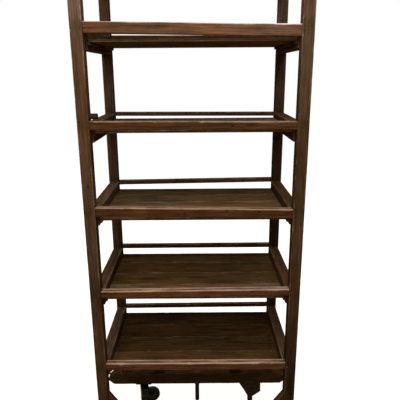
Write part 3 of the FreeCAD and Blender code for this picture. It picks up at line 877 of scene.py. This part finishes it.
class BREADRACK_OT_casters(bpy.types.Operator):
    """Build the four swivel casters: plate, yoke, wheel, axle and screws"""

    bl_idname = "bread_rack.casters"
    bl_label = "Casters"

    def execute(self, context):
        cast, tread = finish_of("Sand-cast iron"), finish_of("Cast iron, worn tread")
        forged = finish_of("Forged iron")
        half, web = WHEEL_WIDTH / 2, WHEEL_WEB / 2
        wheel_soft = np.array([0.5, 1.2, 2.4, 2.4, 1.0, 2.0, 2.0, 1.0, 2.4, 2.4, 1.2, 0.5]) * MM
        axle_soft = np.array([0.1, 2.2, 0.3, 0.1, 0.1, 0.3, 2.2, 0.1]) * MM
        axle_profile = mirrored([(AXLE_HEAD_RADIUS, ARM_OUT + AXLE_HEAD_LENGTH), (AXLE_HEAD_RADIUS, ARM_OUT),
                                 (AXLE_RADIUS, ARM_OUT)])
        screws = []
        for number, corner in enumerate(CORNERS):
            name = corner + "_caster"
            low, high = place_of(name + "_plate")
            plate_low = high[2] - PLATE_THICKNESS
            pivot = (low + high) / 2 * (1, 1, 0)
            centre = sum(place_of(name + "_axle")) / 2
            along = np.cross(UP, (centre - pivot) * (1, 1, 0))
            along /= np.linalg.norm(along)

            plate = timber((low[0], low[1], plate_low), high, 1000 + number, edge=0.8 * MM, chip=0.3 * MM,
                           hollow=0.1 * MM, step=3 * MM, ends=1.0 * MM)
            profile = [(KING_PIN_RADIUS, low[2]), (KING_PIN_RADIUS, plate_low + MM)]
            pin = solid_lathe(profile, 1.2 * MM, pivot, UP)
            build_piece("cast_%s_plate" % name, [plate, pin], cast, "rack", [name + "_plate"])

            radius = place_of(name + "_wheel")[1][2] / 2
            rim = radius - WHEEL_RIM
            profile = mirrored([(WHEEL_BORE, half), (HUB_RADIUS, half), (HUB_RADIUS, web), (rim, web),
                                (rim, half), (radius, half)])
            wheel = lathe(rounded(profile, wheel_soft, 5), centre, along, 1100 + number, 128)
            build_piece("cast_%s_wheel" % name, [wheel], tread, corner + "_wheel",
                        [name + "_wheel"])

            axle = solid_lathe(axle_profile, axle_soft, centre, along, 1200 + number, curve=5)
            build_piece("forged_%s_axle" % name, [axle], forged, name, [name + "_axle"])
            cast_yoke(name, pivot, centre, along, cast)

            for end in (-1, 1):
                x = pivot[0] + end * ((high[0] - low[0]) / 2 - SCREW_EDGE)
                screws.append(slotted_screw((x, pivot[1], plate_low), 1300 + number * 2 + (end > 0)))
        build_piece("slotted_screws", screws, forged, "rack", ["caster_screws"])
        return {"FINISHED"}


class BREADRACK_OT_prop(bpy.types.Operator):
    """Build the threaded prop and its bush under the rear bolster"""

    bl_idname = "bread_rack.prop"
    bl_label = "Prop"

    def execute(self, context):
        low, high = place_of("prop_rod")
        middle = (low + high) / 2 * (1, 1, 0)
        rod = threaded_rod(middle, low[2], high[2], (high[0] - low[0]) / 2, 5)
        build_piece("threaded_prop", [rod], finish_of("Forged iron"), "prop", ["prop_rod"])

        low, high = place_of("prop_bush")
        flange, flange_top = (high[0] - low[0]) / 2, low[2] + BUSH_FLANGE
        profile = [(BUSH_BORE, low[2]), (flange, low[2]), (flange, flange_top), (BUSH_RADIUS, flange_top),
                   (BUSH_RADIUS, high[2]), (BUSH_BORE, high[2])]
        bush = lathe(rounded(profile, np.array([0.6, 1.5, 1.0, 0.3, 0.8, 0.6]) * MM), middle, UP, 6, 72)
        build_piece("cast_prop_bush", [bush], finish_of("Sand-cast iron"), "rack",
                    ["prop_bush"])
        return {"FINISHED"}


def seen_rays(tree):
    """1 for a ray from the camera, off gloss or through glass, and 0 for one that only carries light."""
    rays = add(tree, "LightPath").node.outputs
    seen = rays["Is Camera Ray"]
    for kind in ("Is Glossy Ray", "Is Transmission Ray"):
        seen = add(tree, "Math", (seen, rays[kind]), operation="MAXIMUM")
    return seen


class BREADRACK_OT_stage(bpy.types.Operator):
    """Set the floor, the lamps, the world and the camera"""

    bl_idname = "bread_rack.stage"
    bl_label = "Stage"

    def execute(self, context):
        s = settings().stage
        scene = context.scene
        half = FLOOR_HALF
        mesh = bpy.data.meshes.new("floor")
        corners = [(-half, -half, 0), (half, -half, 0), (half, half, 0), (-half, half, 0)]
        mesh.from_pydata(corners, [], [(0, 1, 2, 3)])
        floor = bpy.data.objects.new("floor", mesh)
        scene.collection.objects.link(floor)
        material, tree, shader = new_material("Matt painted floor")
        shader.inputs["Base Color"].default_value = s.floor
        shader.inputs["Roughness"].default_value = 0.9
        away = add(tree, "VectorMath", (add(tree, "TexCoord", (), "Object"),), operation="LENGTH")
        white = add(tree, "MapRange", (away, FLOOR_NEAR, FLOOR_FAR, s.floor_white, 1.0))
        glow = add(tree, "Emission", (WHITE, add(tree, "Math", (seen_rays(tree), white), operation="MULTIPLY")))
        both = add(tree, "AddShader", (shader.outputs[0], glow))
        tree.links.new(both, tree.nodes["Material Output"].inputs["Surface"])
        mesh.materials.append(material)

        world = bpy.data.worlds.new("Studio air")
        scene.world = world
        world.use_nodes = True
        tree = world.node_tree
        tree.nodes.clear()
        air, white = add(tree, "Background", (s.air, s.air_strength)), add(tree, "Background", (WHITE, 1.0))
        add(tree, "OutputWorld", (add(tree, "MixShader", (seen_rays(tree), air, white)),))

        # Each lamp's place, what it points at, how wide it is and its share of the lamp power
        for name, place, aim, size, share in (
            ("high front lamp", (0.05, -1.15, 3.3), (0.0, -0.1, 1.2), 2.2, 1.0),
            ("front fill", (-0.5, -2.4, 2.4), (0.0, 0.0, 1.0), 1.6, 0.36),
            ("left lamp", (-2.7, 0.2, 2.4), (0.0, 0.0, 1.2), 1.5, 0.11),
            ("right lamp", (2.7, 0.2, 2.4), (0.0, 0.0, 1.2), 1.5, 0.11),
            ("rear lamp", (0.0, 2.8, 2.2), (0.0, 0.0, 1.0), 1.8, 0.55),
        ):
            lamp = bpy.data.lights.new(name, "AREA")
            lamp.shape, lamp.size, lamp.energy = "DISK", size, s.lamp_power * share
            holder = bpy.data.objects.new(name, lamp)
            scene.collection.objects.link(holder)
            aimed = (Vector(place) - Vector(aim)).to_track_quat("Z", "Y")
            holder.matrix_world = Matrix.LocRotScale(Vector(place), aimed, None)

        camera = bpy.data.cameras.new("camera")
        camera.sensor_width, camera.lens = SENSOR, CAMERA_LENS
        camera.clip_start, camera.clip_end = 0.05, 60.0
        eye = bpy.data.objects.new("camera", camera)
        scene.collection.objects.link(eye)
        eye.matrix_world = (Matrix.Translation(CAMERA_PLACE) @ Matrix.Rotation(CAMERA_TURN, 4, "Z")
                            @ Matrix.Rotation(math.pi / 2 - CAMERA_DIP, 4, "X")
                            @ Matrix.Rotation(CAMERA_ROLL, 4, "Z"))
        scene.camera = eye
        scene.view_settings.view_transform = "Standard"
        return {"FINISHED"}


class BREADRACK_PT_panel(bpy.types.Panel):
    bl_label = "Bread Rack"
    bl_idname = "BREADRACK_PT_panel"
    bl_space_type = "VIEW_3D"
    bl_region_type = "UI"
    bl_category = "Bread Rack"

    def draw(self, context):
        for operator in OPERATORS:
            self.layout.operator(operator.bl_idname)
        for group in (settings().timber, settings().iron, settings().stage):
            box = self.layout.box()
            for key in group.__annotations__:
                box.prop(group, key)


OPERATORS = (BREADRACK_OT_posts, BREADRACK_OT_rails, BREADRACK_OT_boards, BREADRACK_OT_base, BREADRACK_OT_pegs,
             BREADRACK_OT_casters, BREADRACK_OT_prop, BREADRACK_OT_stage)
CLASSES = (TimberSettings, IronSettings, StageSettings, BreadRackSettings, *OPERATORS, BREADRACK_PT_panel)


def register():
    for item in CLASSES:
        bpy.utils.register_class(item)
    bpy.types.Scene.bread_rack = bpy.props.PointerProperty(type=BreadRackSettings)


def unregister():
    del bpy.types.Scene.bread_rack
    for item in reversed(CLASSES):
        bpy.utils.unregister_class(item)


def main():
    register()
    bpy.ops.bread_rack.posts()
    bpy.ops.bread_rack.rails()
    bpy.ops.bread_rack.boards()
    bpy.ops.bread_rack.base()
    bpy.ops.bread_rack.pegs()
    bpy.ops.bread_rack.casters()
    bpy.ops.bread_rack.prop()
    bpy.ops.bread_rack.stage()


if __name__ == "__main__":
    main()
